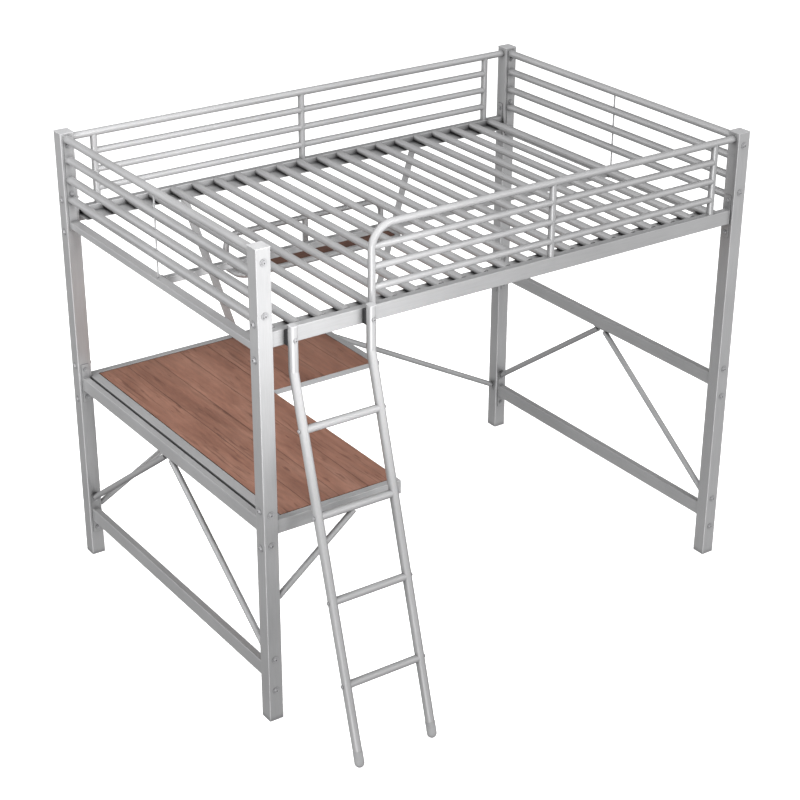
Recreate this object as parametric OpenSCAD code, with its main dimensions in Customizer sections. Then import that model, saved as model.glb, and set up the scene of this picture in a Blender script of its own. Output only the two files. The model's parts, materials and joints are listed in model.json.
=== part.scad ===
// Metal loft bed with a corner desk, a hanging shelf and a bolted ladder.
// Millimetres. +Z up, +X towards the right end, -Y towards the ladder side.
// The origin is the middle of the bounding box at floor level.

/* [Bed] */
// Length over the posts' outer faces
bed_l = 2033; // [1950:1:2100]
// Width over the posts' outer faces
bed_w = 1397; // [1050:1:1600]
// Height to the top of the post caps
bed_h = 1716; // [1600:2:1900]

/* [Posts] */
// Side of the square post tube
post_s = 53; // [40:1:60]
// Wall of the post tube
post_wall = 1.5; // [1:0.1:3]
// Thickness of the post cap's lid
cap_t = 3; // [2:0.5:6]
// Overhang of the cap lid past the post
cap_over = 1; // [0:0.5:3]
// Thickness of the foot glide under the post
foot_t = 3; // [2:0.5:8]
// Depth of the plug on a cap or a glide
plug_l = 14; // [8:1:30]

/* [Deck] */
// Underside of the long deck rails
deck_z = 1375; // [1200:1:1450]
// Height of a long deck rail
deck_h = 53; // [40:1:70]
// Thickness of the long rails
rail_t = 28; // [20:1:40]
// Wall of the rectangular tubes
rail_wall = 1.2; // [0.8:0.1:2]
// Diameter of a slat
slat_d = 28; // [16:1:32]
// Number of slats
slat_n = 21; // [12:1:26]
// Distance from slat to slat
slat_pitch = 91.9; // [70:0.1:130]
// Height of the slats' axes
slat_z = 1418.5; // [1200:0.5:1500]
// Width of the ledge that carries the slats
ledge_w = 73; // [30:1:90]
// Thickness of that ledge
ledge_t = 3; // [2:0.5:5]
// Side of the square centre beam
beam_s = 25; // [20:1:50]
// Width of a deck end rail
end_deck_w = 34; // [20:1:50]
// Height of a deck end rail
end_deck_h = 25.5; // [20:0.5:50]
// Underside of a deck end rail
end_deck_z = 1358; // [1200:1:1420]

/* [End frames] */
// Thickness of the end rails
end_t = 25; // [15:1:30]
// Height of the desk-level rails
end_h = 50; // [40:1:60]
// Height of the low end rails
low_h = 54; // [40:1:70]
// Underside of the low end rail
low_z = 148; // [80:1:300]
// Underside of the desk-level rails
desk_z = 712; // [650:1:760]
// Height of the top guard tube of an end
end_guard_z = 1691.5; // [1600:0.5:1700]
// Diameter of the guard tubes of an end
end_guard_d = 28; // [20:1:32]
// Pitch of the four guard tubes of an end
end_guard_pitch = 74.6; // [60:0.1:90]

/* [Side guards] */
// Diameter of the top guard tubes
guard_d = 26; // [20:1:32]
// Diameter of the uprights
upright_d = 25; // [20:1:32]
// Diameter of the lower guard bars
bar_d = 24; // [16:1:28]
// Height of the top side-guard tube
guard_z = 1691; // [1600:1:1700]
// Height of the highest lower bar
bar_z = 1622; // [1500:1:1650]
// Pitch of the lower bars
bar_pitch = 69.5; // [50:0.5:90]
// Distance of the outer uprights from the bed's ends
upright_in = 141; // [80:1:250]
// Place of the front guard's bent upright, from the left end
entry_x = 436.5; // [400:0.5:700]
// Radius of its bend
bend_r = 80; // [50:1:120]

/* [Desk] */
// Thickness of the desk boards
board_t = 18; // [12:1:30]
// Right edge of the deep board, from the left end
deep_x = 546.5; // [450:0.5:700]
// Right edge of the return board, from the left end
return_x = 991.5; // [800:0.5:1500]
// Front edge of the return board, from the front post faces
return_y = 852; // [700:2:1000]
// Width of the strip beside the deep board
side_strip_w = 36.5; // [20:0.5:45]
// Width of the strip beside the return board
strip_w = 30; // [20:1:45]
// Height of the desk's strips
strip_h = 20; // [15:1:30]

/* [Braces] */
// Diameter of a brace
brace_d = 22; // [12:1:25]
// Height of the back braces' low screws
back_brace_z = 190; // [180:1:300]
// Height of the front brace's low screw
front_brace_z = 451; // [400:1:600]
// Reach of the front brace along the rail
front_brace_run = 328.5; // [200:0.5:450]

/* [Shelf] */
// Height of the shelf frame's axis
shelf_z = 1072; // [950:1:1150]
// Length of the shelf frame along its axis
shelf_l = 742; // [600:2:900]
// Depth of the shelf frame along its axis
shelf_w = 133; // [100:1:250]
// Diameter of the shelf's tubes
shelf_d = 24; // [12:1:26]
// Width of the shelf's rail over its axes
fence_l = 716; // [500:2:800]
// Height of the shelf's rail
fence_z = 1193; // [1100:1:1300]
// Half distance of the hangers at the top
hang_top = 523; // [450:1:600]
// Half distance of the hangers at the bottom
hang_low = 318; // [250:1:450]

/* [Ladder] */
// Place of the left ladder rail, from the left end
ladder_x = 113.5; // [80:0.5:400]
// Distance between the ladder rails
ladder_pitch = 291; // [250:1:400]
// Diameter of a ladder rail
ladder_d = 32; // [25:1:40]
// Diameter of a rung
rung_d = 27; // [18:1:32]
// Number of rungs
rung_n = 4; // [3:1:5]
// Height of the top rung
rung_top = 1108; // [1000:1:1200]
// Distance from rung to rung
rung_pitch = 276.5; // [200:0.5:320]
// Height of the ladder's top
ladder_top = 1447; // [1400:1:1500]
// Height where the rails bend outwards
ladder_bend = 1291; // [1100:1:1400]
// Distance of the straight part in front of the posts
ladder_y = 18; // [15:1:40]
// Distance of the feet's centres in front of the posts
foot_y = 376; // [200:2:500]

/* [Hidden] */
$fn = 48;
gap = 0.1;                              // running gap between parts that only touch
eps = 0.5;                              // overshoot of a cutting tool
bolt_r = 4;                             // M8 frame bolt
hole_r = 4.2;
post_r = 3;                             // outer corner radius of a post
corner_r = 2.5;                         // and of the other rectangular tubes
head_r = 8;
head_h = 5;
washer_r = 12;
washer_t = 1.5;
nut_r = 7.5;
nut_h = 6.5;
plate_t = 3;
plate_w = 30;
plate_over = 20;                        // end plate past its outermost bolts
head_out = washer_t + head_h;
shank_l = post_s + plate_t + nut_h + 3;
screw_r = 3;                            // M6 screw of braces, rungs and shelf
screw_hole = 3.2;
screw_head = 6;
screw_head_h = 3.5;
tab_w = 22;
tab_in = 9;                             // screw from the end of a brace's top tab
foot_r = ladder_d / 2 + 1;              // ball of a ladder foot

x_l = -bed_l / 2;
x_in = x_l + post_s;                    // inner X face of the left posts
pc = post_s / 2;                        // post centre from its outer faces
y_in = bed_w - post_s;                  // inner Y face of the back posts
reach = foot_y + foot_r;
y_shift = (reach - bed_w - head_out) / 2;
rail_f = pc - rail_t / 2;               // outer face of a front long rail
rail_b = pc + rail_t / 2;               // its inner face
low_c = low_z + low_h / 2;
desk_c = desk_z + end_h / 2;
desk_top = desk_z + end_h;
deck_c = deck_z + deck_h / 2;
deck_top = deck_z + deck_h;
panel_low = end_deck_z - 8;
panel_top = end_guard_z + 15;
panel_bolts = [end_guard_z - 23, end_guard_z - 198.5];
low_bolts = [low_c - 55, low_c + 68];   // the upper one also holds a brace
end_bolts = [desk_c - 54, desk_c + 60];
deck_bolts = [deck_c - 59.5, deck_c + 61.5];
desk_bolts = [desk_c - 67, desk_c + 71];
ledge_top = slat_z - slat_d / 2;
slat_x0 = x_l + 75.5;
mid_y = bed_w / 2;
top_wall = 1.2;
guard_r = guard_d / 2;
bar_r = bar_d / 2;
upright_r = upright_d / 2;
end_guard_r = end_guard_d / 2;
deck_end_x = x_l + pc - end_t / 2;      // outer face of a deck end rail
deck_end_in = deck_end_x + end_deck_w;
up_r = x_l + bed_l - upright_in;
entry = x_l + entry_x;
front_mid = (entry + up_r) / 2;
board_z = desk_top - board_t;
strip_x = x_l + 49;
deep_r = x_l + deep_x;
ret_r = x_l + return_x;
lip_t = 2;
lip_w = 18;
board_gap = 3;
support_x = deep_r - 30;
shelf_x = -5;
shelf_back = bed_w - 45;
shelf_r = shelf_d / 2;
rail_r = shelf_r - 0.5;
loop_r = 42;
fence_r = 50;
fence_in = 1.5;
shelf_board_t = 12;
hang_t = 4;
hang_w = 30;
hang_top_y = bed_w - pc;
hang_low_y = y_in + 9.5;
hang_low_z = desk_c;
hang_hole = 20;                         // the top screw beside the hanger
lad_r = ladder_d / 2;
lad_wall = 1.5;
lean = atan((foot_y - ladder_y) / (ladder_bend - foot_r));
foot_l = 42;
spacer_w = 25;
function ladder_at(z) = -ladder_y - max(0, ladder_bend - z) * tan(lean);

steel = [0.66, 0.66, 0.68];
dark = [0.25, 0.25, 0.26];
zinc = [0.74, 0.74, 0.76];
wood = [0.48, 0.29, 0.23];
rubber = [0.45, 0.45, 0.46];

// ---------- helpers ----------

// Everything is drawn with Y from the front posts' faces; this puts it in the part's frame.
module placed() { translate([0, y_shift, 0]) children(); }

// Rod along +Y, +X or +Z from a point
module rod_y(p, len, r) { translate(p) rotate([-90, 0, 0]) cylinder(h = len, r = r); }
module rod_x(p, len, r) { translate(p) rotate([0, 90, 0]) cylinder(h = len, r = r); }
module rod_z(p, len, r) { translate(p) cylinder(h = len, r = r); }

module tube_y(p, len, r, wall) {
    difference() {
        rod_y(p, len, r);
        rod_y(p - [0, eps, 0], len + 2 * eps, r - wall);
    }
}
module tube_x(p, len, r, wall) {
    difference() {
        rod_x(p, len, r);
        rod_x(p - [eps, 0, 0], len + 2 * eps, r - wall);
    }
}
module tube_z(p, len, r, wall) {
    difference() {
        rod_z(p, len, r);
        rod_z(p - [0, 0, eps], len + 2 * eps, r - wall);
    }
}

// Rectangle with rounded corners, from the origin
module rounded(w, h, r) {
    translate([r, 0]) square([w - 2 * r, h]);
    translate([0, r]) square([w, h - 2 * r]);
    for (x = [r, w - r])
        for (y = [r, h - r])
            translate([x, y]) circle(r = r);
}
module tube_profile(w, h, wall, r) {
    difference() {
        rounded(w, h, r);
        translate([wall, wall]) rounded(w - 2 * wall, h - 2 * wall, r - wall);
    }
}
// Rectangular tubes with rounded corners, open at both ends
module box_tube_x(p, s, wall) {
    translate(p) rotate([90, 0, 90]) linear_extrude(height = s[0])
        tube_profile(s[1], s[2], wall, corner_r);
}
module box_tube_y(p, s, wall) {
    translate(p + [0, s[1], 0]) rotate([90, 0, 0]) linear_extrude(height = s[1])
        tube_profile(s[0], s[2], wall, corner_r);
}

// The left end's things again at the right end
module both_ends() {
    children();
    mirror([1, 0, 0]) children();
}
// The front's things again at the back, mirrored about the bed's middle
module both_sides() {
    children();
    translate([0, bed_w, 0]) mirror([0, 1, 0]) children();
}

// ---------- posts ----------

// One post at the front left: bolt holes along Y for the end frame, along X for the rails
module post(x_holes, brace_zs) {
    difference() {
        translate([x_l, 0, foot_t]) linear_extrude(height = bed_h - cap_t - foot_t)
            tube_profile(post_s, post_s, post_wall, post_r);
        for (z = concat(low_bolts, end_bolts, panel_bolts))
            rod_y([x_l + pc, -eps, z], post_s + 2 * eps, hole_r);
        for (z = x_holes)
            rod_x([x_l - eps, pc, z], post_s + 2 * eps, hole_r);
        for (z = brace_zs)
            rod_x([x_l + pc, pc, z], post_s, screw_hole);
    }
}
module post_front_left() {
    color(steel) placed() post(concat(deck_bolts, desk_bolts), [front_brace_z]);
}
module post_back_left() {
    color(steel) placed() translate([0, bed_w, 0]) mirror([0, 1, 0])
        post(concat(deck_bolts, desk_bolts), [back_brace_z]);
}
module post_front_right() {
    color(steel) placed() mirror([1, 0, 0]) post(deck_bolts, []);
}
module post_back_right() {
    color(steel) placed() translate([0, bed_w, 0]) mirror([1, 0, 0]) mirror([0, 1, 0])
        post(concat(deck_bolts, desk_bolts), [back_brace_z]);
}

// Square plastic lid with a hollow plug that fits the tube
module cap() {
    side = post_s + 2 * cap_over;
    translate([x_l - cap_over, -cap_over, bed_h - cap_t]) linear_extrude(height = cap_t)
        rounded(side, side, post_r + cap_over);
    plug(bed_h - cap_t - plug_l);
}
module plug(z) {
    side = post_s - 2 * post_wall - 2 * gap;
    inset = post_wall + gap;
    translate([x_l + inset, inset, z]) linear_extrude(height = plug_l)
        tube_profile(side, side, 2, post_r);
}
module post_caps() { color(steel) placed() both_ends() both_sides() cap(); }

module post_feet() {
    color(rubber) placed() both_ends() both_sides() {
        translate([x_l, 0, 0]) linear_extrude(height = foot_t) rounded(post_s, post_s, post_r);
        plug(foot_t);
    }
}

// ---------- end frames ----------

module end_rail(z, h) {
    box_tube_y([x_l + pc - end_t / 2, post_s + plate_t, z],
        [end_t, bed_w - 2 * post_s - 2 * plate_t, h], rail_wall);
}
module holed_end_rail(z) {
    difference() {
        end_rail(z, end_h);
        for (dy = [-10, 10])
            rod_z([x_l + pc, mid_y + dy, z - eps], rail_wall + 2 * eps, screw_hole);
    }
}
module low_rails() { color(steel) placed() both_ends() end_rail(low_z, low_h); }
module desk_end_rails() { color(steel) placed() both_ends() holed_end_rail(desk_z); }

// Flat plate welded across a rail's end, drilled for a pair of frame bolts
module plate_y(z_low, z_high, holes) {
    difference() {
        translate([x_l + pc - plate_w / 2, post_s, z_low]) cube([plate_w, plate_t, z_high - z_low]);
        for (z = holes)
            rod_y([x_l + pc, post_s - eps, z], plate_t + 2 * eps, hole_r);
    }
}
module end_rail_plates() {
    color(steel) placed() both_ends() both_sides()
        for (b = [low_bolts, end_bolts])
            plate_y(b[0] - plate_over, b[1] + plate_over, b);
}
module end_panel_plates() {
    color(steel) placed() both_ends() both_sides()
        plate_y(panel_low, panel_top, panel_bolts);
}

module deck_end_rail() {
    box_tube_y([deck_end_x, post_s + plate_t, end_deck_z],
        [end_deck_w, bed_w - 2 * post_s - 2 * plate_t, end_deck_h], rail_wall);
}
module deck_end_rails() { color(steel) placed() both_ends() deck_end_rail(); }

module end_guard_bars() {
    for (i = [0:3])
        tube_y([x_l + pc, post_s + plate_t, end_guard_z - i * end_guard_pitch],
            bed_w - 2 * post_s - 2 * plate_t, end_guard_r, top_wall);
}
module end_guard_left() { color(steel) placed() end_guard_bars(); }
module end_guard_right() { color(steel) placed() mirror([1, 0, 0]) end_guard_bars(); }

// Thin upright wires welded between the end guard's tubes
module end_guard_ties() {
    color(steel) placed() both_ends() difference() {
        rod_z([x_l + pc, mid_y, end_deck_z + end_deck_h], end_guard_z - end_deck_z - end_deck_h, 3);
        for (i = [0:3])
            rod_y([x_l + pc, mid_y - 50, end_guard_z - i * end_guard_pitch], 100, end_guard_r);
    }
}

// ---------- deck ----------

module long_rail(z, h) {
    box_tube_x([x_in + plate_t, rail_f, z], [bed_l - 2 * post_s - 2 * plate_t, rail_t, h], rail_wall);
}
module ladder_holes() {
    for (x = [0, ladder_pitch])
        rod_y([x_l + ladder_x + x, rail_f - eps, deck_c], rail_wall + 2 * eps, hole_r);
}
module front_deck_rail() {
    color(steel) placed() difference() {
        long_rail(deck_z, deck_h);
        ladder_holes();
    }
}
module back_deck_rail() {
    color(steel) placed() translate([0, bed_w, 0]) mirror([0, 1, 0]) difference() {
        long_rail(deck_z, deck_h);
        both_ends() rod_z([-hang_top - hang_hole, pc, deck_z - eps], rail_wall + 2 * eps, screw_hole);
    }
}

// End plate of a long rail on the left posts' inner X face
module plate_x(holes) {
    difference() {
        translate([x_in, rail_f, holes[0] - plate_over])
            cube([plate_t, rail_t, holes[1] - holes[0] + 2 * plate_over]);
        for (z = holes)
            rod_x([x_in - eps, pc, z], plate_t + 2 * eps, hole_r);
    }
}
module deck_rail_plates() {
    color(steel) placed() both_ends() both_sides() plate_x(deck_bolts);
}

module ledge() {
    translate([x_in, rail_b, ledge_top - ledge_t]) cube([bed_l - 2 * post_s, ledge_w, ledge_t]);
}
module slat_ledges() { color(steel) placed() both_sides() ledge(); }

// Tubes with welded-shut ends and a drain hole below
module slats() {
    len = bed_w - 2 * rail_b - 2 * gap;
    r = slat_d / 2;
    color(steel) placed() for (i = [0:slat_n - 1])
        translate([slat_x0 + i * slat_pitch, rail_b + gap, slat_z]) difference() {
            rod_y([0, 0, 0], len, r);
            rod_y([0, 2, 0], len - 4, r - top_wall);
            rod_z([0, 45, -r - eps], r, 1.5);
        }
}

// Square tube from end rail to end rail under the slats
module centre_beam() {
    beam_x = deck_end_in + plate_t;
    color(steel) placed()
        box_tube_x([beam_x, mid_y - beam_s / 2, end_deck_z], [-2 * beam_x, beam_s, beam_s], rail_wall);
}
module beam_plates() {
    color(steel) placed() both_ends()
        translate([deck_end_in, mid_y - 20, end_deck_z]) cube([plate_t, 40, end_deck_h]);
}

// ---------- side guards ----------

// Tubes that the bars and uprights are coped against
module upright_cores(xs) { for (x = xs) rod_z([x, pc, deck_top - eps], guard_z, upright_r); }

module lower_bars(x0, x1, xs) {
    difference() {
        for (i = [0:2])
            tube_x([x0, pc, bar_z - i * bar_pitch], x1 - x0, bar_r, top_wall);
        upright_cores(xs);
    }
}
module uprights(xs) {
    difference() {
        for (x = xs)
            tube_z([x, pc, deck_top], guard_z - deck_top, upright_r, top_wall);
        rod_x([x_in, pc, guard_z], bed_l, guard_r);
    }
}
back_xs = [x_l + upright_in, 0, up_r];
module back_guard_rail() {
    color(steel) placed() translate([0, bed_w, 0]) mirror([0, 1, 0])
        tube_x([x_in, pc, guard_z], bed_l - 2 * post_s, guard_r, top_wall);
}
module back_guard_uprights() {
    color(steel) placed() translate([0, bed_w, 0]) mirror([0, 1, 0]) uprights(back_xs);
}
module back_guard_bars() {
    color(steel) placed() translate([0, bed_w, 0]) mirror([0, 1, 0])
        lower_bars(back_xs[0], back_xs[2], back_xs);
}

// Top tube that bends down into the upright beside the ladder opening
module front_guard_rail() {
    low_l = guard_z - bend_r - deck_top;
    color(steel) placed() {
        tube_x([entry + bend_r, pc, guard_z], -x_in - entry - bend_r, guard_r, top_wall);
        tube_z([entry, pc, deck_top], low_l, guard_r, top_wall);
        translate([entry + bend_r, pc, guard_z - bend_r]) rotate([90, 0, 0])
            rotate([0, 0, 90]) rotate_extrude(angle = 90) translate([bend_r, 0]) difference() {
                circle(r = guard_r);
                circle(r = guard_r - top_wall);
            }
    }
}
module front_guard_uprights() { color(steel) placed() uprights([front_mid, up_r]); }
module front_guard_bars() {
    color(steel) placed() difference() {
        lower_bars(entry, up_r, [front_mid, up_r]);
        rod_z([entry, pc, deck_top - eps], guard_z, guard_r);
    }
}

// ---------- desk ----------

// Small angle under a board's edge, drawn as a strip
module lip_x(x0, x1, y0) { translate([x0, y0, board_z - lip_t]) cube([x1 - x0, lip_w, lip_t]); }

// Front desk rail: from the front left post to the deep board's right edge
module front_desk_rail() {
    x0 = x_in + plate_t;
    color(steel) placed() difference() {
        union() {
            box_tube_x([x0, rail_f, desk_z], [deep_r - 5 - x0, rail_t, end_h], rail_wall);
            lip_x(strip_x + side_strip_w, deep_r - 40, rail_b);
        }
        rod_z([x_in + front_brace_run - tab_in, pc, desk_z - eps], rail_wall + 2 * eps, screw_hole);
    }
}
module front_desk_cap() {
    color(rubber) placed() {
        inset = rail_wall + gap;
        translate([deep_r - 5, rail_f, desk_z]) rotate([90, 0, 90]) linear_extrude(height = 3)
            rounded(rail_t, end_h, corner_r);
        translate([deep_r - 15, rail_f + inset, desk_z + inset]) rotate([90, 0, 90])
            linear_extrude(height = 10) rounded(rail_t - 2 * inset, end_h - 2 * inset, corner_r);
    }
}
// Back desk rail: from post to post, with the lip that carries the boards
module back_desk_rail() {
    color(steel) placed() translate([0, bed_w, 0]) mirror([0, 1, 0]) difference() {
        union() {
            long_rail(desk_z, end_h);
            lip_x(strip_x + side_strip_w, ret_r, rail_b);
        }
        both_ends() {
            rod_z([-1 - tab_in, pc, desk_z - eps], rail_wall + 2 * eps, screw_hole);
            rod_y([-hang_low, rail_b - rail_wall - eps, hang_low_z], rail_wall + 2 * eps, screw_hole);
        }
        // Notch in the lip for the left hanger
        translate([-hang_low - 22, rail_b, board_z - lip_t - eps]) cube([44, lip_w + eps, lip_t + 2 * eps]);
    }
}
module desk_rail_plates() {
    color(steel) placed() {
        plate_x(desk_bolts);
        translate([0, bed_w, 0]) mirror([0, 1, 0]) both_ends() plate_x(desk_bolts);
    }
}

// Flat tubes along the boards' ends, each with a lip under the board
module desk_strip_left() {
    color(steel) placed() {
        box_tube_y([strip_x, rail_b, desk_top - strip_h],
            [side_strip_w, bed_w - 2 * rail_b, strip_h], rail_wall);
        translate([strip_x + side_strip_w - corner_r, rail_b + lip_w, board_z - lip_t])
            cube([lip_w + corner_r, bed_w - 2 * rail_b - 2 * lip_w, lip_t]);
    }
}
module desk_strip_right() {
    color(steel) placed() {
        box_tube_y([ret_r + 1, return_y - lip_t, desk_top - strip_h],
            [strip_w, bed_w - rail_b - return_y + lip_t, strip_h], rail_wall);
        translate([ret_r + 1 - lip_w, return_y + lip_w, board_z - lip_t])
            cube([lip_w + corner_r, bed_w - rail_b - return_y - 2 * lip_w, lip_t]);
    }
}
// Tube under the joint of the two boards, with a strip on top that reaches under both
module desk_support() {
    z = board_z - lip_t;
    y0 = rail_b + lip_w;
    color(steel) placed() {
        box_tube_y([support_x, rail_b, z - 25], [28, bed_w - 2 * rail_b, 25], rail_wall);
        translate([support_x, y0, z]) cube([28, bed_w - 2 * y0, lip_t]);
        translate([support_x, return_y + lip_w, z])
            cube([50, bed_w - y0 - return_y - lip_w, lip_t]);
    }
}
// Angle along the return board's front edge
module return_angle() {
    x0 = deep_r + 1;
    color(steel) placed() {
        translate([x0, return_y - lip_t, desk_top - strip_h]) cube([ret_r - x0, lip_t, strip_h]);
        translate([x0 + 20, return_y - lip_t, board_z - lip_t]) cube([ret_r - x0 - 20, lip_w + lip_t, lip_t]);
    }
}
module desk_board_deep() {
    color(wood) placed() translate([strip_x + side_strip_w + 1, rail_b + board_gap, board_z])
        cube([deep_r - strip_x - side_strip_w - 1, bed_w - 2 * rail_b - board_gap - 6, board_t]);
}
module desk_board_return() {
    color(wood) placed() translate([deep_r + 1, return_y + 1, board_z])
        cube([return_x - deep_x - 2, bed_w - rail_b - 6 - return_y - 1, board_t]);
}

// ---------- braces ----------

// Round tube with flat tabs welded to its ends, in the XZ plane: its low screw is at the
// origin on a face at x = 0, and its top tab lies under a rail at z = rise and ends at
// x = run. A small drain hole opens the tube.
module brace(run, rise, low_hole) {
    dx = run - 26.5;
    dz = rise - 23;
    len = sqrt(dx * dx + dz * dz);
    translate([7.5, 0, 12.5]) rotate([0, 90 - atan2(dz, dx), 0]) difference() {
        cylinder(h = len, r = brace_d / 2);
        translate([0, 0, 14]) cylinder(h = len - 28, r = brace_d / 2 - top_wall);
        translate([0, 0, 40]) rotate([90, 0, 0]) cylinder(h = brace_d / 2 + eps, r = 1.5);
    }
    difference() {
        translate([0, -tab_w / 2, -12]) cube([plate_t, tab_w, 36]);
        rod_x([-eps, 0, 0], plate_t + 2 * eps, low_hole);
    }
    difference() {
        translate([run - 34, -tab_w / 2, rise - plate_t]) cube([34, tab_w, plate_t]);
        rod_z([run - tab_in, 0, rise - plate_t - eps], plate_t + 2 * eps, screw_hole);
    }
}
// Screw at a brace's low end and at its top
module low_screw() {
    rod_x([-8, 0, 0], 8 + plate_t, screw_r);
    rod_x([plate_t, 0, 0], screw_head_h, screw_head);
}
module top_screw(run, rise) {
    rod_z([run - tab_in, 0, rise - plate_t], plate_t + 6, screw_r);
    rod_z([run - tab_in, 0, rise - plate_t - screw_head_h], screw_head_h, screw_head);
}
end_run = mid_y - post_s - plate_t - 1;
back_run = -x_in - 1;
module at_end() { translate([x_l + pc, post_s + plate_t, low_bolts[1]]) rotate([0, 0, 90]) children(); }
module at_back() { translate([x_in, bed_w - pc, back_brace_z]) children(); }
module at_front() { translate([x_in, pc, front_brace_z]) children(); }
end_rise = desk_z - low_bolts[1];
back_rise = desk_z - back_brace_z;
front_rise = desk_z - front_brace_z;

module end_braces() {
    color(steel) placed() both_ends() both_sides() at_end() brace(end_run, end_rise, hole_r);
}
module back_braces() {
    color(steel) placed() both_ends() at_back() brace(back_run, back_rise, screw_hole);
}
module front_brace() {
    color(steel) placed() at_front() brace(front_brace_run, front_rise, screw_hole);
}

// ---------- shelf ----------

// Flat hanger from the back deck rail down to the back desk rail, left one
hang_drop = deck_z - hang_t - (hang_low_z - 14);
hang_lean = atan((hang_top_y - hang_low_y) / hang_drop);
hang_tilt = atan((hang_top - hang_low) / hang_drop);
module hanger() {
    len = hang_drop / cos(hang_lean) / cos(hang_tilt);
    difference() {
        translate([-hang_top, hang_top_y, deck_z - 4]) rotate([-hang_lean, 0, 0])
            rotate([0, -hang_tilt, 0]) translate([-hang_w / 2, -hang_t / 2, -len])
                cube([hang_w, hang_t, len + 1]);
        rod_y([-hang_low, hang_low_y - 8, hang_low_z], 16, screw_hole);
        rod_y([hanger_x(shelf_z), bed_w - 60, shelf_z], 60, screw_hole);
        translate([-hang_top - 60, hang_top_y - 30, deck_z]) cube([120, 60, 20]);
    }
    difference() {
        translate([-hang_top - 30, hang_top_y - 12, deck_z - hang_t]) cube([60, 24, hang_t]);
        rod_z([-hang_top - hang_hole, hang_top_y, deck_z - 10], 20, screw_hole);
    }
}
function hanger_x(z) = -hang_top + (deck_z - z) / hang_drop * (hang_top - hang_low);
module hangers() { color(steel) placed() both_ends() hanger(); }

shelf_hx = shelf_l / 2;
shelf_front = shelf_back - shelf_w;

// Closed loop of round tube with rounded corners
module shelf_loop(r) {
    for (s = [-1, 1]) {
        rod_y([s * shelf_hx, shelf_front + loop_r, 0], shelf_w - 2 * loop_r, r);
        for (t = [0, 1])
            translate([s * (shelf_hx - loop_r), shelf_front + loop_r + t * (shelf_w - 2 * loop_r), 0])
                rotate([0, 0, s > 0 ? (t > 0 ? 0 : -90) : (t > 0 ? 90 : 180)])
                    rotate_extrude(angle = 90) translate([loop_r, 0]) circle(r = r);
    }
    for (y = [shelf_front, shelf_back])
        rod_x([-shelf_hx + loop_r, y, 0], 2 * (shelf_hx - loop_r), r);
}
module shelf_frame() {
    color(steel) placed() translate([shelf_x, 0, shelf_z]) difference() {
        union() {
            shelf_loop(shelf_r);
            // Three flat bars welded across under the board
            for (x = [-260, 0, 260])
                translate([x - 10, shelf_front, -shelf_r + 1]) cube([20, shelf_w, 3]);
        }
        shelf_loop(shelf_r - top_wall);
        rod_z([120, shelf_front, -shelf_r - eps], shelf_r, 1.5);
    }
}
module shelf_board() {
    inset = shelf_r + 1;
    w = shelf_w - 2 * inset;
    l = shelf_l - 2 * inset;
    r = loop_r - inset;
    color(wood) placed() translate([shelf_x, shelf_front + inset, shelf_z - shelf_r + 4])
        linear_extrude(height = shelf_board_t) union() {
            translate([-l / 2 + r, 0]) square([l - 2 * r, w]);
            translate([-l / 2, r]) square([l, w - 2 * r]);
            for (s = [-1, 1])
                for (y = [r, w - r])
                    translate([s * (l / 2 - r), y]) circle(r = r);
        }
}
// Bent rail along the shelf's back, standing on the frame
module shelf_rail() {
    color(steel) placed() translate([shelf_x, shelf_back, 0]) difference() {
        fence_bow(rail_r);
        fence_bow(rail_r - top_wall);
        shelf_core();
    }
}
module fence_bow(r) {
    up_l = fence_z - fence_r - shelf_z;
    translate([0, -fence_in, 0]) {
        rod_x([-fence_l / 2 + fence_r, 0, fence_z], fence_l - 2 * fence_r, r);
        for (s = [-1, 1]) {
            rod_z([s * fence_l / 2, 0, shelf_z], up_l, r);
            translate([s * (fence_l / 2 - fence_r), 0, fence_z - fence_r]) rotate([90, 0, 0])
                rotate([0, 0, s > 0 ? 0 : 90]) rotate_extrude(angle = 90)
                    translate([fence_r, 0]) circle(r = r);
        }
    }
}
module shelf_core() {
    for (s = [-1, 1])
        translate([s * (shelf_hx - loop_r), -loop_r, shelf_z])
            rotate([0, 0, s > 0 ? 0 : 90]) rotate_extrude(angle = 90)
                translate([loop_r, 0]) circle(r = shelf_r);
    rod_x([-shelf_hx + loop_r, 0, shelf_z], shelf_l - 2 * loop_r, shelf_r);
}
module shelf_rail_post() {
    color(steel) placed() translate([shelf_x, shelf_back, 0]) difference() {
        tube_z([0, -fence_in, shelf_z], fence_z - shelf_z, rail_r, top_wall);
        shelf_core();
        rod_x([-50, -fence_in, fence_z], 100, rail_r);
    }
}
// Flat links behind the shelf frame and the hangers
link_y = hang_top_y - (deck_z - shelf_z) / hang_drop * (hang_top_y - hang_low_y)
    + hang_t / 2 / cos(hang_lean) + 0.35;
module shelf_links() {
    x0 = -hanger_x(shelf_z) + 12;
    color(steel) placed() both_ends() difference() {
        translate([-x0, link_y, shelf_z - 10]) cube([x0 - 310, plate_t, 20]);
        rod_y([hanger_x(shelf_z), link_y - eps, shelf_z], plate_t + 2 * eps, screw_hole);
    }
}

// ---------- ladder ----------

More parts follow.
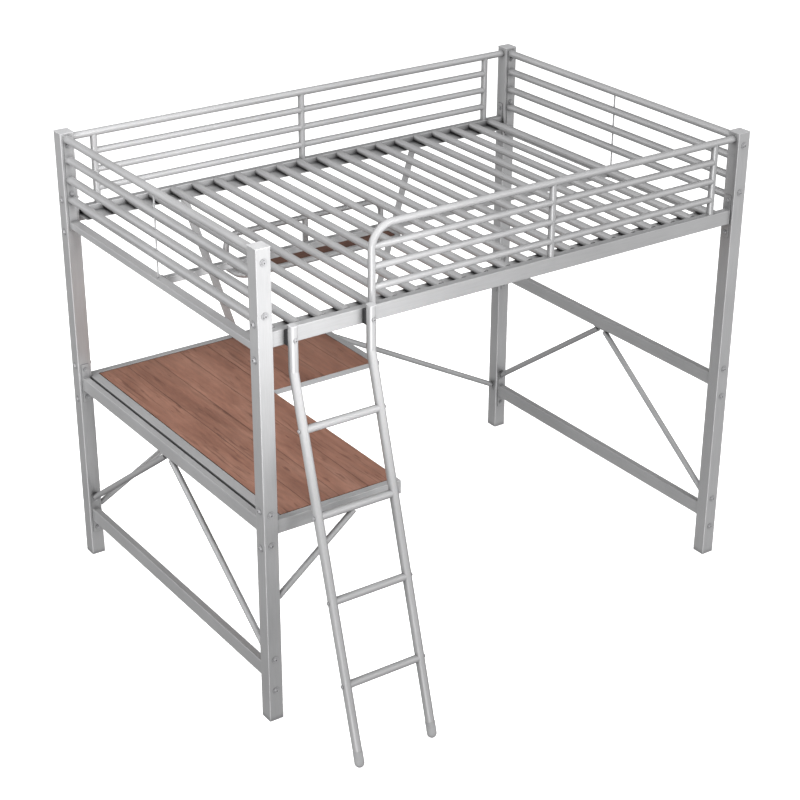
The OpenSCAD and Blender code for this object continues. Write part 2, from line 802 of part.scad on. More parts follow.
module ladder_core(r) {
    rod_z([0, -ladder_y, ladder_bend], ladder_top - ladder_bend, r);
    translate([0, -ladder_y, ladder_bend]) sphere(r = r);
    translate([0, -ladder_y, ladder_bend]) rotate([180 - lean, 0, 0])
        cylinder(h = slope_l - 20, r = r);
}
slope_l = (ladder_bend - foot_r) / cos(lean);
module ladder_rail() {
    difference() {
        ladder_core(lad_r);
        difference() {
            ladder_core(lad_r - lad_wall);
            translate([-50, -ladder_y - 50, ladder_top]) cube(100);
        }
        translate([0, -ladder_y, ladder_top - 1]) cylinder(h = 2, r = lad_r - lad_wall);
        rod_y([0, -ladder_y - 50, deck_c], 100, hole_r);
        for (i = [0:rung_n - 1])
            rod_x([-20, ladder_at(rung_top - i * rung_pitch), rung_top - i * rung_pitch], 40, screw_hole);
    }
}
module at_ladder(i) { translate([x_l + ladder_x + i * ladder_pitch, 0, 0]) children(); }
module ladder_rail_left() { color(steel) placed() at_ladder(0) ladder_rail(); }
module ladder_rail_right() { color(steel) placed() at_ladder(1) ladder_rail(); }

module rung(i) {
    z = rung_top - i * rung_pitch;
    y = ladder_at(z);
    difference() {
        tube_x([x_l + ladder_x, y, z], ladder_pitch, rung_d / 2, 1.5);
        for (k = [0, 1])
            at_ladder(k) ladder_core(lad_r + gap / 2);
    }
    // Plugs in the rung's ends take the screws
    for (k = [0, 1])
        at_ladder(k) rod_x([k > 0 ? -lad_r - 16 : lad_r + 4, y, z], 12, rung_d / 2 - 1.5);
}
module ladder_rungs() { color(steel) placed() for (i = [0:rung_n - 1]) rung(i); }

module ladder_foot() {
    translate([0, -foot_y, foot_r]) difference() {
        union() {
            sphere(r = foot_r);
            rotate([-lean, 0, 0]) cylinder(h = foot_l, r = foot_r);
        }
        rotate([-lean, 0, 0]) translate([0, 0, 19]) cylinder(h = foot_l, r = lad_r + gap / 2);
    }
}
module ladder_feet() { color(rubber) placed() for (k = [0, 1]) at_ladder(k) ladder_foot(); }
module ladder_plugs() {
    color(rubber) placed() for (k = [0, 1])
        at_ladder(k) translate([0, -ladder_y, ladder_top]) {
            cylinder(h = 2.5, r = lad_r);
            translate([0, 0, -10]) cylinder(h = 10, r = lad_r - lad_wall - gap);
        }
}
// Saddle blocks between the ladder rails and the deck rail
module ladder_spacers() {
    color(dark) placed() for (k = [0, 1])
        at_ladder(k) difference() {
            translate([-spacer_w / 2, -ladder_y, deck_z + 2])
                cube([spacer_w, ladder_y + rail_f - gap, deck_h - 4]);
            rod_z([0, -ladder_y, deck_z - 10], deck_h + 20, lad_r + gap / 2);
            rod_y([0, -ladder_y - 20, deck_c], 60, hole_r);
        }
}

// ---------- fasteners ----------

// Frame bolt along +Z from under its head: button head, shank and hex socket
module bolt(len) {
    difference() {
        union() {
            translate([0, 0, -head_h]) cylinder(h = head_h, r1 = head_r - 2, r2 = head_r);
            cylinder(h = len, r = bolt_r);
        }
        translate([0, 0, -head_h - eps]) cylinder(h = 3, r = 2.9, $fn = 6);
    }
}
// Places of the bolts along Y and along X, head on the outer face of a left post
module y_place(zs) {
    both_ends() both_sides() for (z = zs)
        translate([x_l + pc, 0, z]) rotate([-90, 0, 0]) children();
}
module x_place(zs) {
    for (z = zs)
        translate([x_l, pc, z]) rotate([0, 90, 0]) children();
}
module x_places() {
    both_ends() both_sides() x_place(deck_bolts) children();
    x_place(desk_bolts) children();
    translate([0, bed_w, 0]) mirror([0, 1, 0]) both_ends() x_place(desk_bolts) children();
}
plain_y = concat([low_bolts[0]], end_bolts, panel_bolts);
brace_y = [low_bolts[1]];
module frame_bolts() {
    color(zinc) placed() {
        y_place(plain_y) translate([0, 0, -washer_t]) bolt(shank_l + washer_t);
        y_place(brace_y) translate([0, 0, -washer_t]) bolt(shank_l + washer_t + plate_t);
        x_places() translate([0, 0, -washer_t]) bolt(shank_l + washer_t);
    }
}
module washer() {
    translate([0, 0, -washer_t]) difference() {
        cylinder(h = washer_t, r = washer_r);
        translate([0, 0, -eps]) cylinder(h = washer_t + 2 * eps, r = hole_r);
    }
}
module frame_washers() {
    color(zinc) placed() {
        y_place(concat(plain_y, brace_y)) washer();
        x_places() washer();
    }
}
module nut(over) {
    translate([0, 0, post_s + plate_t + over]) difference() {
        cylinder(h = nut_h, r = nut_r, $fn = 6);
        translate([0, 0, -eps]) cylinder(h = nut_h + 2 * eps, r = hole_r);
    }
}
module frame_nuts() {
    color(zinc) placed() {
        y_place(plain_y) nut(0);
        y_place(brace_y) nut(plate_t);
        x_places() nut(0);
    }
}
module ladder_bolts() {
    color(zinc) placed() for (k = [0, 1])
        at_ladder(k) translate([0, -ladder_y - lad_r, deck_c]) rotate([-90, 0, 0])
            bolt(ladder_y + lad_r + rail_f + 8);
}
module rung_screws() {
    color(zinc) placed() for (i = [0:rung_n - 1]) {
        z = rung_top - i * rung_pitch;
        y = ladder_at(z);
        for (k = [0, 1])
            at_ladder(k) mirror([k, 0, 0]) {
                rod_x([-lad_r, y, z], 2 * lad_r + 3.5, screw_r);
                rod_x([-lad_r - screw_head_h, y, z], screw_head_h, screw_head);
            }
    }
}
module brace_screws() {
    color(zinc) placed() {
        both_ends() both_sides() at_end() top_screw(end_run, end_rise);
        both_ends() at_back() {
            low_screw();
            top_screw(back_run, back_rise);
        }
        at_front() {
            low_screw();
            top_screw(front_brace_run, front_rise);
        }
    }
}
// Screws at the hangers' tops and feet and at the shelf's links
module shelf_screws() {
    hx = hanger_x(shelf_z);
    face = link_y - 0.35 - hang_t / cos(hang_lean) - 0.1;
    low_y = hang_low_y - hang_t / 2 - 0.2;
    color(zinc) placed() both_ends() {
        rod_z([-hang_top - hang_hole, hang_top_y, deck_z - hang_t - screw_head_h], screw_head_h, screw_head);
        rod_z([-hang_top - hang_hole, hang_top_y, deck_z - hang_t], hang_t + 6, screw_r);
        rod_y([-hang_low, low_y - screw_head_h, hang_low_z], screw_head_h, screw_head);
        rod_y([-hang_low, low_y, hang_low_z], 16, screw_r);
        rod_y([hx, face - screw_head_h, shelf_z], screw_head_h, screw_head);
        rod_y([hx, face, shelf_z], 14, screw_r);
    }
}

post_front_left();
post_back_left();
post_front_right();
post_back_right();
post_caps();
post_feet();
low_rails();
desk_end_rails();
deck_end_rails();
end_rail_plates();
end_panel_plates();
end_guard_left();
end_guard_right();
end_guard_ties();
front_deck_rail();
back_deck_rail();
deck_rail_plates();
slat_ledges();
slats();
centre_beam();
beam_plates();
back_guard_rail();
back_guard_uprights();
back_guard_bars();
front_guard_rail();
front_guard_uprights();
front_guard_bars();
front_desk_rail();
front_desk_cap();
back_desk_rail();
desk_rail_plates();
desk_strip_left();
desk_strip_right();
desk_support();
return_angle();
desk_board_deep();
desk_board_return();
end_braces();
back_braces();
front_brace();
hangers();
shelf_frame();
shelf_board();
shelf_rail();
shelf_rail_post();
shelf_links();
ladder_rail_left();
ladder_rail_right();
ladder_rungs();
ladder_feet();
ladder_plugs();
ladder_spacers();
frame_bolts();
frame_washers();
frame_nuts();
ladder_bolts();
rung_screws();
brace_screws();
shelf_screws();
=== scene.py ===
"""Looks of the metal loft bed with desk: silver powder-coated tube, reddish-brown plank boards,
zinc fasteners, weld beads, and a pale studio. Metres, in the CAD model's frame."""

import json
import math
import random

import bmesh
import bpy
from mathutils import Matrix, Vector


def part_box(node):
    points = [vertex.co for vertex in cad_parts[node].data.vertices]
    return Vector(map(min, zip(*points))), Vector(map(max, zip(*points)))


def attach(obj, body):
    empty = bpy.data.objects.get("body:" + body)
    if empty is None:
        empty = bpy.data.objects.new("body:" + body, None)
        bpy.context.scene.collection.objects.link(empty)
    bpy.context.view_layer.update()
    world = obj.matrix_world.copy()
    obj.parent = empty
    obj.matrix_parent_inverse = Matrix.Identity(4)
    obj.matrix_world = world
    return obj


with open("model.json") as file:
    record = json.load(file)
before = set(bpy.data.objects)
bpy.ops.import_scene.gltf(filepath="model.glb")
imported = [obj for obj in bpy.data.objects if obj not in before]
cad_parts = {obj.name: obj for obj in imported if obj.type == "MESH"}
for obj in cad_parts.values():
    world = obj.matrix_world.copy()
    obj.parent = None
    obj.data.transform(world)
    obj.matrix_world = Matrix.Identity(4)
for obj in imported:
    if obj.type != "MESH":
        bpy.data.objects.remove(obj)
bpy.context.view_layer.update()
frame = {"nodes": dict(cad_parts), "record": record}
nodes = frame["nodes"]
scene = bpy.context.scene
rng = random.Random(7)


# ---------- camera ----------

CAM_YAW = math.radians(34.186)
CAM_PITCH = math.radians(26.513)
CAM_POS = Vector((-3.6446, -5.04345, 3.7655))
cam_data = bpy.data.cameras.new("camera")
cam_data.lens = 84.27
cam_data.sensor_width = 36.0
cam_data.shift_x = 0.0237
cam_data.shift_y = 0.0219
cam_data.clip_end = 60.0
camera = bpy.data.objects.new("camera", cam_data)
scene.collection.objects.link(camera)
look = Vector((
    math.sin(CAM_YAW) * math.cos(CAM_PITCH),
    math.cos(CAM_YAW) * math.cos(CAM_PITCH),
    -math.sin(CAM_PITCH),
))
camera.location = CAM_POS
camera.rotation_euler = look.to_track_quat("-Z", "Y").to_euler()
scene.camera = camera


# ---------- node helpers ----------

# Samples of the ambient occlusion that paints shade into the colours
PAINTED_SHADE_SAMPLES = 6


class Graph:
    """A node tree, with short calls for the nodes that the materials and the sky use."""

    def __init__(self, tree):
        self.tree = tree

    def node(self, kind, **settings):
        n = self.tree.nodes.new(kind)
        for key, value in settings.items():
            setattr(n, key, value)
        return n

    def link(self, a, b):
        self.tree.links.new(a, b)

    def feed(self, socket, value):
        if hasattr(value, "is_linked"):
            self.link(value, socket)
        else:
            socket.default_value = value

    def coords(self, scale=(1, 1, 1), rotation=(0, 0, 0), shift=(0, 0, 0)):
        tex = self.node("ShaderNodeTexCoord")
        mapping = self.node("ShaderNodeMapping")
        mapping.inputs["Scale"].default_value = scale
        mapping.inputs["Rotation"].default_value = rotation
        mapping.inputs["Location"].default_value = shift
        self.link(tex.outputs["Object"], mapping.inputs["Vector"])
        return mapping.outputs["Vector"]

    def noise(self, vector, scale, detail=4.0, rough=0.55, distortion=0.0):
        n = self.node("ShaderNodeTexNoise")
        self.link(vector, n.inputs["Vector"])
        n.inputs["Scale"].default_value = scale
        n.inputs["Detail"].default_value = detail
        n.inputs["Roughness"].default_value = rough
        n.inputs["Distortion"].default_value = distortion
        return n.outputs["Fac"]

    def math(self, operation, a, b=0.0):
        n = self.node("ShaderNodeMath", operation=operation)
        self.feed(n.inputs[0], a)
        self.feed(n.inputs[1], b)
        return n.outputs[0]

    def span(self, value, low, high, out_low=0.0, out_high=1.0, ease="LINEAR"):
        """The value's range low to high, as the range out_low to out_high."""
        n = self.node("ShaderNodeMapRange", interpolation_type=ease)
        self.link(value, n.inputs["Value"])
        for key, number in (("From Min", low), ("From Max", high), ("To Min", out_low), ("To Max", out_high)):
            n.inputs[key].default_value = number
        return n.outputs["Result"]

    def dot(self, vector, direction):
        n = self.node("ShaderNodeVectorMath", operation="DOT_PRODUCT")
        self.link(vector, n.inputs[0])
        n.inputs[1].default_value = Vector(direction).normalized()
        return n.outputs["Value"]

    def scale(self, vector, factor):
        n = self.node("ShaderNodeVectorMath", operation="SCALE")
        self.link(vector, n.inputs[0])
        self.link(factor, n.inputs["Scale"])
        return n.outputs["Vector"]

    def add(self, a, b):
        n = self.node("ShaderNodeVectorMath", operation="ADD")
        self.link(a, n.inputs[0])
        self.link(b, n.inputs[1])
        return n.outputs["Vector"]

    def ramp(self, value, stops):
        n = self.node("ShaderNodeValToRGB")
        self.link(value, n.inputs["Fac"])
        while len(n.color_ramp.elements) < len(stops):
            n.color_ramp.elements.new(0.5)
        for element, (place, colour) in zip(n.color_ramp.elements, stops):
            element.position = place
            element.color = (*colour, 1.0)
        return n.outputs["Color"]

    def mix(self, factor, a, b, blend="MIX"):
        n = self.node("ShaderNodeMix", data_type="RGBA", blend_type=blend)
        self.feed(n.inputs["Factor"], factor)
        for socket, value in ((n.inputs["A"], a), (n.inputs["B"], b)):
            if isinstance(value, tuple):
                socket.default_value = (*value, 1.0)
            else:
                self.link(value, socket)
        return n.outputs["Result"]


class Surface(Graph):
    """A material's graph, which ends in its Principled shader."""

    def __init__(self, name):
        self.mat = bpy.data.materials.new(name)
        self.mat.use_nodes = True
        super().__init__(self.mat.node_tree)
        self.bsdf = self.tree.nodes["Principled BSDF"]

    def set(self, **values):
        for key, value in values.items():
            self.feed(self.bsdf.inputs[key.replace("_", " ")], value)

    def painted_crevice_shade(self, colour, reach, deepest):
        """The colour with painted shade: darkened by ambient occlusion in slots and where parts meet."""
        n = self.node("ShaderNodeAmbientOcclusion", samples=PAINTED_SHADE_SAMPLES)
        n.inputs["Distance"].default_value = reach
        return self.mix(1.0, colour, self.span(n.outputs["AO"], 0.30, 0.90, deepest, 1.0), "MULTIPLY")

    def bump(self, height, strength, distance):
        n = self.node("ShaderNodeBump")
        n.inputs["Strength"].default_value = strength
        n.inputs["Distance"].default_value = distance
        self.link(height, n.inputs["Height"])
        self.link(n.outputs["Normal"], self.bsdf.inputs["Normal"])


# ---------- materials ----------

def painted_steel(run):
    """Silver-grey powder coat over drawn tube: fine orange peel, streaks along the run (X, Y
    or Z) of the tube, faint mottling, and painted shade that darkens corners and joins."""
    g = Surface("silver_powder_coat_" + run.lower())
    at = g.coords()
    drawn = g.coords(tuple(0.035 if axis == run else 1.0 for axis in "XYZ"))
    broad = g.noise(at, 3.0, 3.0)
    streak = g.noise(drawn, 330.0, 3.0, 0.6)
    fine = g.noise(at, 900.0, 2.0)
    tone = g.mix(g.span(broad, 0.3, 0.7), (0.385, 0.385, 0.39), (0.435, 0.435, 0.44))
    colour = g.mix(1.0, tone, g.span(streak, 0.28, 0.72, 0.95, 1.05), "MULTIPLY")
    g.set(
        # Painted shade: the colour is darkened by ambient occlusion where parts meet and in slots
        Base_Color=g.painted_crevice_shade(colour, 0.025, 0.18),
        Metallic=0.55,
        Roughness=g.span(broad, 0.25, 0.75, 0.28, 0.36),
    )
    g.bump(fine, 0.08, 0.0004)
    return g.mat


def zinc_plate():
    g = Surface("zinc_plate")
    at = g.coords()
    cloud = g.noise(at, 160.0, 4.0)
    grain = g.noise(g.coords((1, 1, 0.08)), 2200.0, 2.0)
    colour = g.mix(g.span(cloud, 0.3, 0.7), (0.40, 0.40, 0.41), (0.52, 0.52, 0.53))
    g.set(
        # Painted shade: the colour is darkened by ambient occlusion where parts meet
        Base_Color=g.painted_crevice_shade(colour, 0.006, 0.3),
        Metallic=0.7,
        Roughness=g.span(cloud, 0.3, 0.7, 0.30, 0.45),
    )
    g.bump(grain, 0.1, 0.0002)
    return g.mat


def moulded_plastic(name, low, high, rough):
    g = Surface(name)
    at = g.coords()
    g.set(
        Base_Color=g.mix(g.span(g.noise(at, 40.0), 0.3, 0.7), low, high),
        Roughness=g.span(g.noise(at, 600.0), 0.3, 0.7, rough - 0.05, rough + 0.08),
    )
    g.bump(g.noise(at, 1500.0, 2.0), 0.2, 0.0003)
    return g.mat


def plank_wood(name, plank_w, offset, lengthwise, depth=1.0):
    """Reddish-brown planks along Y (or along X), each with its own tone, grain and knots."""
    g = Surface(name)
    turn = (0, 0, 0) if lengthwise == "Y" else (0, 0, math.radians(90))
    at = g.coords(rotation=turn, shift=(offset, 0, 0))
    parts = g.node("ShaderNodeSeparateXYZ")
    g.link(at, parts.inputs[0])
    across = g.math("DIVIDE", parts.outputs["X"], plank_w)
    index = g.math("FLOOR", across)
    inside = g.math("FRACT", across)
    # Every plank shifts the grain by its own amount and has its own tone
    tone = g.node("ShaderNodeTexWhiteNoise", noise_dimensions="1D")
    g.link(index, tone.inputs["W"])
    jump = g.math("MULTIPLY", tone.outputs["Value"], 7.0)
    along = g.math("ADD", parts.outputs["Y"], jump)
    local = g.node("ShaderNodeCombineXYZ")
    g.link(g.math("ADD", parts.outputs["X"], jump), local.inputs["X"])
    g.link(g.math("MULTIPLY", along, 0.12), local.inputs["Y"])
    g.link(parts.outputs["Z"], local.inputs["Z"])
    stretched = local.outputs[0]
    broad = g.noise(stretched, 14.0, 5.0, 0.6, 0.6)
    streak = g.noise(stretched, 120.0, 4.0, 0.65, 0.3)
    pores = g.noise(stretched, 700.0, 2.0, 0.7)
    # Knots: Voronoi spots, darker near each one and darkest at its core
    knots = g.node("ShaderNodeTexVoronoi", feature="F1")
    flat = g.node("ShaderNodeCombineXYZ")
    g.link(g.math("ADD", parts.outputs["X"], jump), flat.inputs["X"])
    g.link(g.math("MULTIPLY", along, 0.55), flat.inputs["Y"])
    g.link(flat.outputs[0], knots.inputs["Vector"])
    knots.inputs["Scale"].default_value = 5.2
    near = g.span(knots.outputs["Distance"], 0.0, 0.16, 1.0, 0.0)
    core = g.span(knots.outputs["Distance"], 0.02, 0.055, 1.0, 0.0)
    base = g.ramp(broad, [
        (0.22, (0.122, 0.057, 0.040)),
        (0.45, (0.172, 0.086, 0.061)),
        (0.62, (0.200, 0.106, 0.077)),
        (0.85, (0.250, 0.141, 0.107)),
    ])
    lit = g.mix(g.span(streak, 0.35, 0.7), (0.70, 0.66, 0.64), (1.16, 1.12, 1.10))
    colour = g.mix(0.75, base, lit, "MULTIPLY")
    # Curled figure: thin dark lines of a bent wave, only in patches, and short dashes
    figure = g.node("ShaderNodeTexWave", wave_type="BANDS", bands_direction="X")
    g.link(stretched, figure.inputs["Vector"])
    for key, number in (("Scale", 16.0), ("Distortion", 9.0), ("Detail", 3.0), ("Detail Scale", 1.6)):
        figure.inputs[key].default_value = number
    patches = g.span(g.noise(stretched, 22.0, 2.0), 0.50, 0.62)
    curl = g.math("MULTIPLY", g.span(figure.outputs["Fac"], 0.80, 0.97), patches)
    dash = g.span(g.noise(stretched, 75.0, 2.0, 0.5), 0.64, 0.70)
    dark = g.math("MAXIMUM", g.math("MULTIPLY", curl, 0.60), g.math("MULTIPLY", dash, 0.55))
    colour = g.mix(dark, colour, (0.055, 0.024, 0.017))
    colour = g.mix(g.math("MULTIPLY", near, 0.30), colour, (0.10, 0.042, 0.028))
    colour = g.mix(g.math("MULTIPLY", core, 0.7), colour, (0.035, 0.016, 0.012))
    plank = g.span(tone.outputs["Value"], 0.0, 1.0, 0.92 * depth, 1.08 * depth)
    colour = g.mix(1.0, colour, plank, "MULTIPLY")
    edge = g.math("MINIMUM", inside, g.math("SUBTRACT", 1.0, inside))
    seam = g.span(edge, 0.004, 0.018, 1.0, 0.0)
    colour = g.mix(g.math("MULTIPLY", seam, 0.75), colour, (0.030, 0.014, 0.010))
    # Painted shade: the colour is darkened by ambient occlusion where parts meet and in gaps
    g.set(Base_Color=g.painted_crevice_shade(colour, 0.03, 0.5), Roughness=g.span(streak, 0.3, 0.7, 0.46, 0.64))
    g.set(Specular_IOR_Level=0.3)
    height = g.math("SUBTRACT", g.math("MULTIPLY", pores, 0.35), seam)
    g.bump(height, 0.5, 0.0006)
    return g.mat


STEEL = {run: painted_steel(run) for run in "XYZ"}
ZINC = zinc_plate()
GREY = moulded_plastic("grey_plastic", (0.27, 0.27, 0.275), (0.32, 0.32, 0.325), 0.45)
DARK = moulded_plastic("dark_plastic", (0.022, 0.022, 0.024), (0.035, 0.035, 0.037), 0.5)
WOOD_DEEP = plank_wood("plank_wood_deep", 0.115, 0.93, "Y")
WOOD_RETURN = plank_wood("plank_wood_return", 0.115, 0.47, "Y")
WOOD_SHELF = plank_wood("plank_wood_shelf", 0.107, 0.28, "X", 0.6)

BY_SLOT = {"frame_paint": STEEL["X"], "zinc": ZINC, "grey_plastic": GREY, "dark_plastic": DARK}
# Nodes whose tubes run across the bed, and those that stand up; all other tubes run along it
ACROSS = ("slats", "low_rails", "desk_end_rails", "deck_end_rails", "end_guard_left", "end_guard_right",
          "desk_strip_left", "desk_strip_right", "desk_support")
UPRIGHT = ("post_front_left", "post_back_left", "post_front_right", "post_back_right",
           "front_guard_uprights", "back_guard_uprights", "ladder_rail_left", "ladder_rail_right", "hangers")
BOARDS = {"desk_board_deep": WOOD_DEEP, "desk_board_return": WOOD_RETURN, "shelf_board": WOOD_SHELF}
# Edge radius of each board
ROUNDED = {"desk_board_deep": 0.0012, "desk_board_return": 0.0012, "shelf_board": 0.001}

slots = {s["node"]: s["material_slot"] for s in frame["record"]["subparts"]}
for name, obj in nodes.items():
    obj.data.materials.clear()
    look_of = BOARDS.get(name) or BY_SLOT[slots[name]]
    if look_of == STEEL["X"]:
        look_of = STEEL["Y" if name in ACROSS else "Z" if name in UPRIGHT else "X"]
    obj.data.materials.append(look_of)
    if name in ROUNDED:
        weld = obj.modifiers.new("join", "WELD")
        weld.merge_threshold = 0.00001
        bevel = obj.modifiers.new("edges", "BEVEL")
        bevel.width = ROUNDED[name]
        bevel.segments = 2
        bevel.limit_method = "ANGLE"


# ---------- weld beads ----------

def islands(name):
    """Box of each separate solid in a node, as (lowest, highest) corners."""
    mesh = nodes[name].data
    parent = {}

    def root(k):
        while parent[k] != k:
            parent[k] = parent[parent[k]]
            k = parent[k]
        return k

    keys = [tuple(round(c, 5) for c in v.co) for v in mesh.vertices]
    for k in keys:
        parent[k] = k
    for face in mesh.polygons:
        first = root(keys[face.vertices[0]])
        for i in face.vertices[1:]:
            parent[root(keys[i])] = first
    groups = {}
    for k in parent:
        groups.setdefault(root(k), []).append(k)
    boxes = []
    for points in groups.values():
        columns = list(zip(*points))
        boxes.append((Vector([min(c) for c in columns]), Vector([max(c) for c in columns])))
    return sorted(boxes, key=lambda b: tuple(b[0]))


LOOP_POINTS = 36
TURN = [2 * math.pi * i / LOOP_POINTS for i in range(LOOP_POINTS)]
TUBE_CORNER = 0.0025        # outer corner radius of the rectangular tubes
BEAD_STEP = 0.004           # between two points of a bead on a straight side
BEAD_SIDES = 6
# The two directions across each axis
ACROSS_AXIS = {"X": ((0, 1, 0), (0, 0, 1)), "Y": ((1, 0, 0), (0, 0, 1)), "Z": ((1, 0, 0), (0, 1, 0))}


def ring(centre, axis, radius):
    """Round a tube, across its axis."""
    a, b = [Vector(v) for v in ACROSS_AXIS[axis]]
    return [Vector(centre) + a * radius * math.cos(t) + b * radius * math.sin(t) for t in TURN]


def bar_saddle(mid_y, mid_z, radius, upright_x, upright_radius, side):
    """Where a bar along X meets an upright."""
    path = []
    for t in TURN:
        y = radius * math.cos(t)
        x = upright_x + side * math.sqrt(max(upright_radius ** 2 - y ** 2, 0.0))
        path.append(Vector((x, mid_y + y, mid_z + radius * math.sin(t))))
    return path


def head_saddle(mid_x, mid_y, radius, tube_z, tube_radius):
    """Where an upright meets a tube along X above it."""
    path = []
    for t in TURN:
        y = radius * math.sin(t)
        z = tube_z - math.sqrt(max(tube_radius ** 2 - y ** 2, 0.0))
        path.append(Vector((mid_x + radius * math.cos(t), mid_y + y, z)))
    return path


def section_loop(low, high, axis, at):
    """Round a rectangular tube's section, at one place along it."""
    i, j, k = {"X": (1, 2, 0), "Y": (0, 2, 1)}[axis]
    path = []
    for s, t, start in ((1, 1, 0), (-1, 1, 90), (-1, -1, 180), (1, -1, 270)):
        centre_i = (high if s > 0 else low)[i] - s * TUBE_CORNER
        centre_j = (high if t > 0 else low)[j] - t * TUBE_CORNER
        for step in range(0, 91, 30):
            turn = math.radians(start + step)
            point = Vector((0, 0, 0))
            point[i] = centre_i + TUBE_CORNER * math.cos(turn)
            point[j] = centre_j + TUBE_CORNER * math.sin(turn)
            point[k] = at
            path.append(point)
    dense = []
    for a, b in zip(path, path[1:] + path[:1]):
        count = max(1, int((b - a).length / BEAD_STEP))
        dense += [a.lerp(b, n / count) for n in range(count)]
    return dense


def beads(name, paths, radius=0.0016):
    """Rippled weld beads along closed paths, as one piece."""
    bm = bmesh.new()
    for path in paths:
        middle = sum(path, Vector()) / len(path)
        rows = []
        for i, point in enumerate(path):
            ahead = (path[(i + 1) % len(path)] - path[i - 1]).normalized()
            out = point - middle
            out = (out - ahead * out.dot(ahead)).normalized()
            up = ahead.cross(out)
            size = radius * rng.uniform(0.82, 1.15)
            rows.append([
                bm.verts.new(point + (out * math.cos(a) + up * math.sin(a)) * size)
                for a in [2 * math.pi * k / BEAD_SIDES for k in range(BEAD_SIDES)]
            ])
        for row, following in zip(rows, rows[1:] + rows[:1]):
            for k in range(BEAD_SIDES):
                n = (k + 1) % BEAD_SIDES
                bm.faces.new((row[k], row[n], following[n], following[k]))
    bmesh.ops.recalc_face_normals(bm, faces=bm.faces)
    mesh = bpy.data.meshes.new(name)
    bm.to_mesh(mesh)
    bm.free()
    mesh.shade_smooth()
    obj = bpy.data.objects.new(name, mesh)
    scene.collection.objects.link(obj)
    obj.data.materials.append(STEEL["X"])
    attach(obj, "root")


def middle_of(low, high):
    return (low + high) / 2


end_guard_paths = []
for node in ("end_guard_left", "end_guard_right"):
    for low, high in islands(node):
        mid = middle_of(low, high)
        for y in (low.y, high.y):
            end_guard_paths.append(ring((mid.x, y, mid.z), "Y", (high.z - low.z) / 2))
beads("welds_end_guards", end_guard_paths)

side_paths = []
for side in ("front", "back"):
    low, high = [Vector(v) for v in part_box(side + "_guard_rail")]
    tube_radius = (high.y - low.y) / 2
    tube_z = high.z - tube_radius
    uprights = []
    if side == "front":
        # The bent tube comes down to the deck rail as the first upright
        uprights.append((low.x + tube_radius, tube_radius))
        side_paths.append(ring((low.x + tube_radius, (low.y + high.y) / 2, low.z), "Z", tube_radius))
    for low, high in islands(side + "_guard_uprights"):
        mid = middle_of(low, high)
        radius = (high.x - low.x) / 2
        uprights.append((mid.x, radius))
        side_paths.append(ring((mid.x, mid.y, low.z), "Z", radius))
        side_paths.append(head_saddle(mid.x, mid.y, radius, tube_z, tube_radius))
    for low, high in islands(side + "_guard_bars"):
        mid = middle_of(low, high)
        for x in (low.x, high.x):
            place, radius = min(uprights, key=lambda u: abs(u[0] - x))
            toward = 1 if mid.x > place else -1
            side_paths.append(bar_saddle(mid.y, mid.z, (high.z - low.z) / 2, place, radius, toward))
beads("welds_side_guards", side_paths, 0.0014)

rail_paths = []
for node in ("low_rails", "desk_end_rails", "deck_end_rails"):
    for low, high in islands(node):
        rail_paths += [section_loop(low, high, "Y", y) for y in (low.y, high.y)]
for node in ("front_deck_rail", "back_deck_rail", "back_desk_rail"):
    low, high = [Vector(v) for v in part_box(node)]
    rail_paths += [section_loop(low, high, "X", x) for x in (low.x, high.x)]
beads("welds_rails", rail_paths)


# ---------- studio ----------

FLOOR_SIZE = 200.0
FLOOR_DROP = 0.0005
SKY_STRENGTH = 2.15
# Place from nadir 0 to zenith 1, and grey level
SKY_STOPS = [(0.0, 0.19), (0.42, 0.36), (0.52, 0.56), (0.78, 0.46), (1.0, 0.34)]
DIM_TOWARDS = (0.62, 0.78, 0.0)
DIM_LEVEL = 0.20
PATCH_TOWARDS = (-0.50, -0.74, -0.45)
PATCH_GREY = 1.45


def plane(name, size, place):
    mesh = bpy.data.meshes.new(name)
    h = size / 2
    mesh.from_pydata([(-h, -h, 0), (h, -h, 0), (h, h, 0), (-h, h, 0)], [], [(0, 1, 2, 3)])
    obj = bpy.data.objects.new(name, mesh)
    obj.location = place
    scene.collection.objects.link(obj)
    return obj


def studio_floor():
    """A pale floor that is lit and shadowed. The object's paint reads the sky's dim lower half
    in its place."""
    floor = plane("studio_floor", FLOOR_SIZE, (0, 0, -FLOOR_DROP))
    pale = Surface("studio_white")
    pale.set(Base_Color=(0.80, 0.80, 0.80, 1.0), Roughness=0.9, Emission_Color=(1.0, 1.0, 1.0, 1.0))
    pale.set(Emission_Strength=0.72, Specular_IOR_Level=0.1)
    floor.data.materials.append(pale.mat)
    floor.visible_diffuse = False
    floor.visible_glossy = False


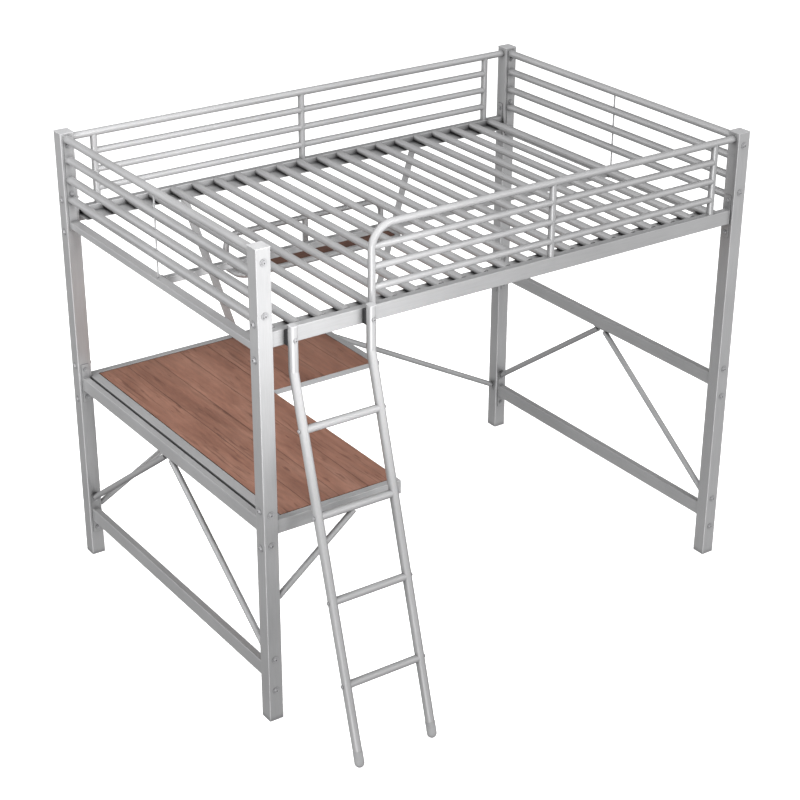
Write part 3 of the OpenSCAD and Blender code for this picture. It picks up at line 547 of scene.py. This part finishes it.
def studio_sky():
    """World light by height. It is dimmer on one side, which draws the dark edges along the
    tubes, and has a pale patch low in front, which draws the bright line down upright tubes."""
    world = bpy.data.worlds.new("studio")
    scene.world = world
    world.use_nodes = True
    g = Graph(world.node_tree)
    towards = g.node("ShaderNodeTexCoord").outputs["Generated"]
    parts = g.node("ShaderNodeSeparateXYZ")
    g.link(towards, parts.inputs[0])
    level = g.ramp(g.span(parts.outputs["Z"], -1.0, 1.0), [(at, (grey,) * 3) for at, grey in SKY_STOPS])
    fade = g.span(g.dot(towards, DIM_TOWARDS), -0.15, 0.75, 1.0, DIM_LEVEL, "SMOOTHSTEP")
    patch = g.span(g.dot(towards, PATCH_TOWARDS), 0.93, 0.99, 0.0, PATCH_GREY, "SMOOTHSTEP")
    background = g.tree.nodes["Background"]
    g.link(g.add(g.scale(level, fade), patch), background.inputs["Color"])
    background.inputs["Strength"].default_value = SKY_STRENGTH


studio_floor()
studio_sky()
scene.view_settings.view_transform = "Standard"


def aim(obj, place, target):
    obj.location = place
    obj.rotation_euler = (Vector(target) - Vector(place)).to_track_quat("-Z", "Y").to_euler()
    # The lamps shade the paint; what it mirrors is the sky
    obj.visible_glossy = False
    scene.collection.objects.link(obj)


def softbox(name, place, target, size, watts):
    data = bpy.data.lights.new(name, "AREA")
    data.shape = "RECTANGLE"
    data.size, data.size_y = size
    data.energy = watts
    aim(bpy.data.objects.new(name, data), place, target)


def spot(name, place, target, degrees, radius, watts):
    data = bpy.data.lights.new(name, "SPOT")
    data.spot_size = math.radians(degrees)
    data.spot_blend = 1.0
    data.shadow_soft_size = radius
    data.energy = watts
    aim(bpy.data.objects.new(name, data), place, target)


softbox("top", (0.3, 0.3, 5.0), (0, 0, 0), (3.0, 3.0), 108)
softbox("left", (-3.3, 0.4, 2.9), (-1.0, 0.2, 1.5), (1.6, 1.2), 98)
softbox("front", (1.2, -3.9, 3.0), (0.7, -0.5, 1.3), (1.8, 1.2), 112)
spot("corner", (-0.9, -3.6, 2.6), (-1.0, -0.5, 1.75), 36, 0.5, 1350)
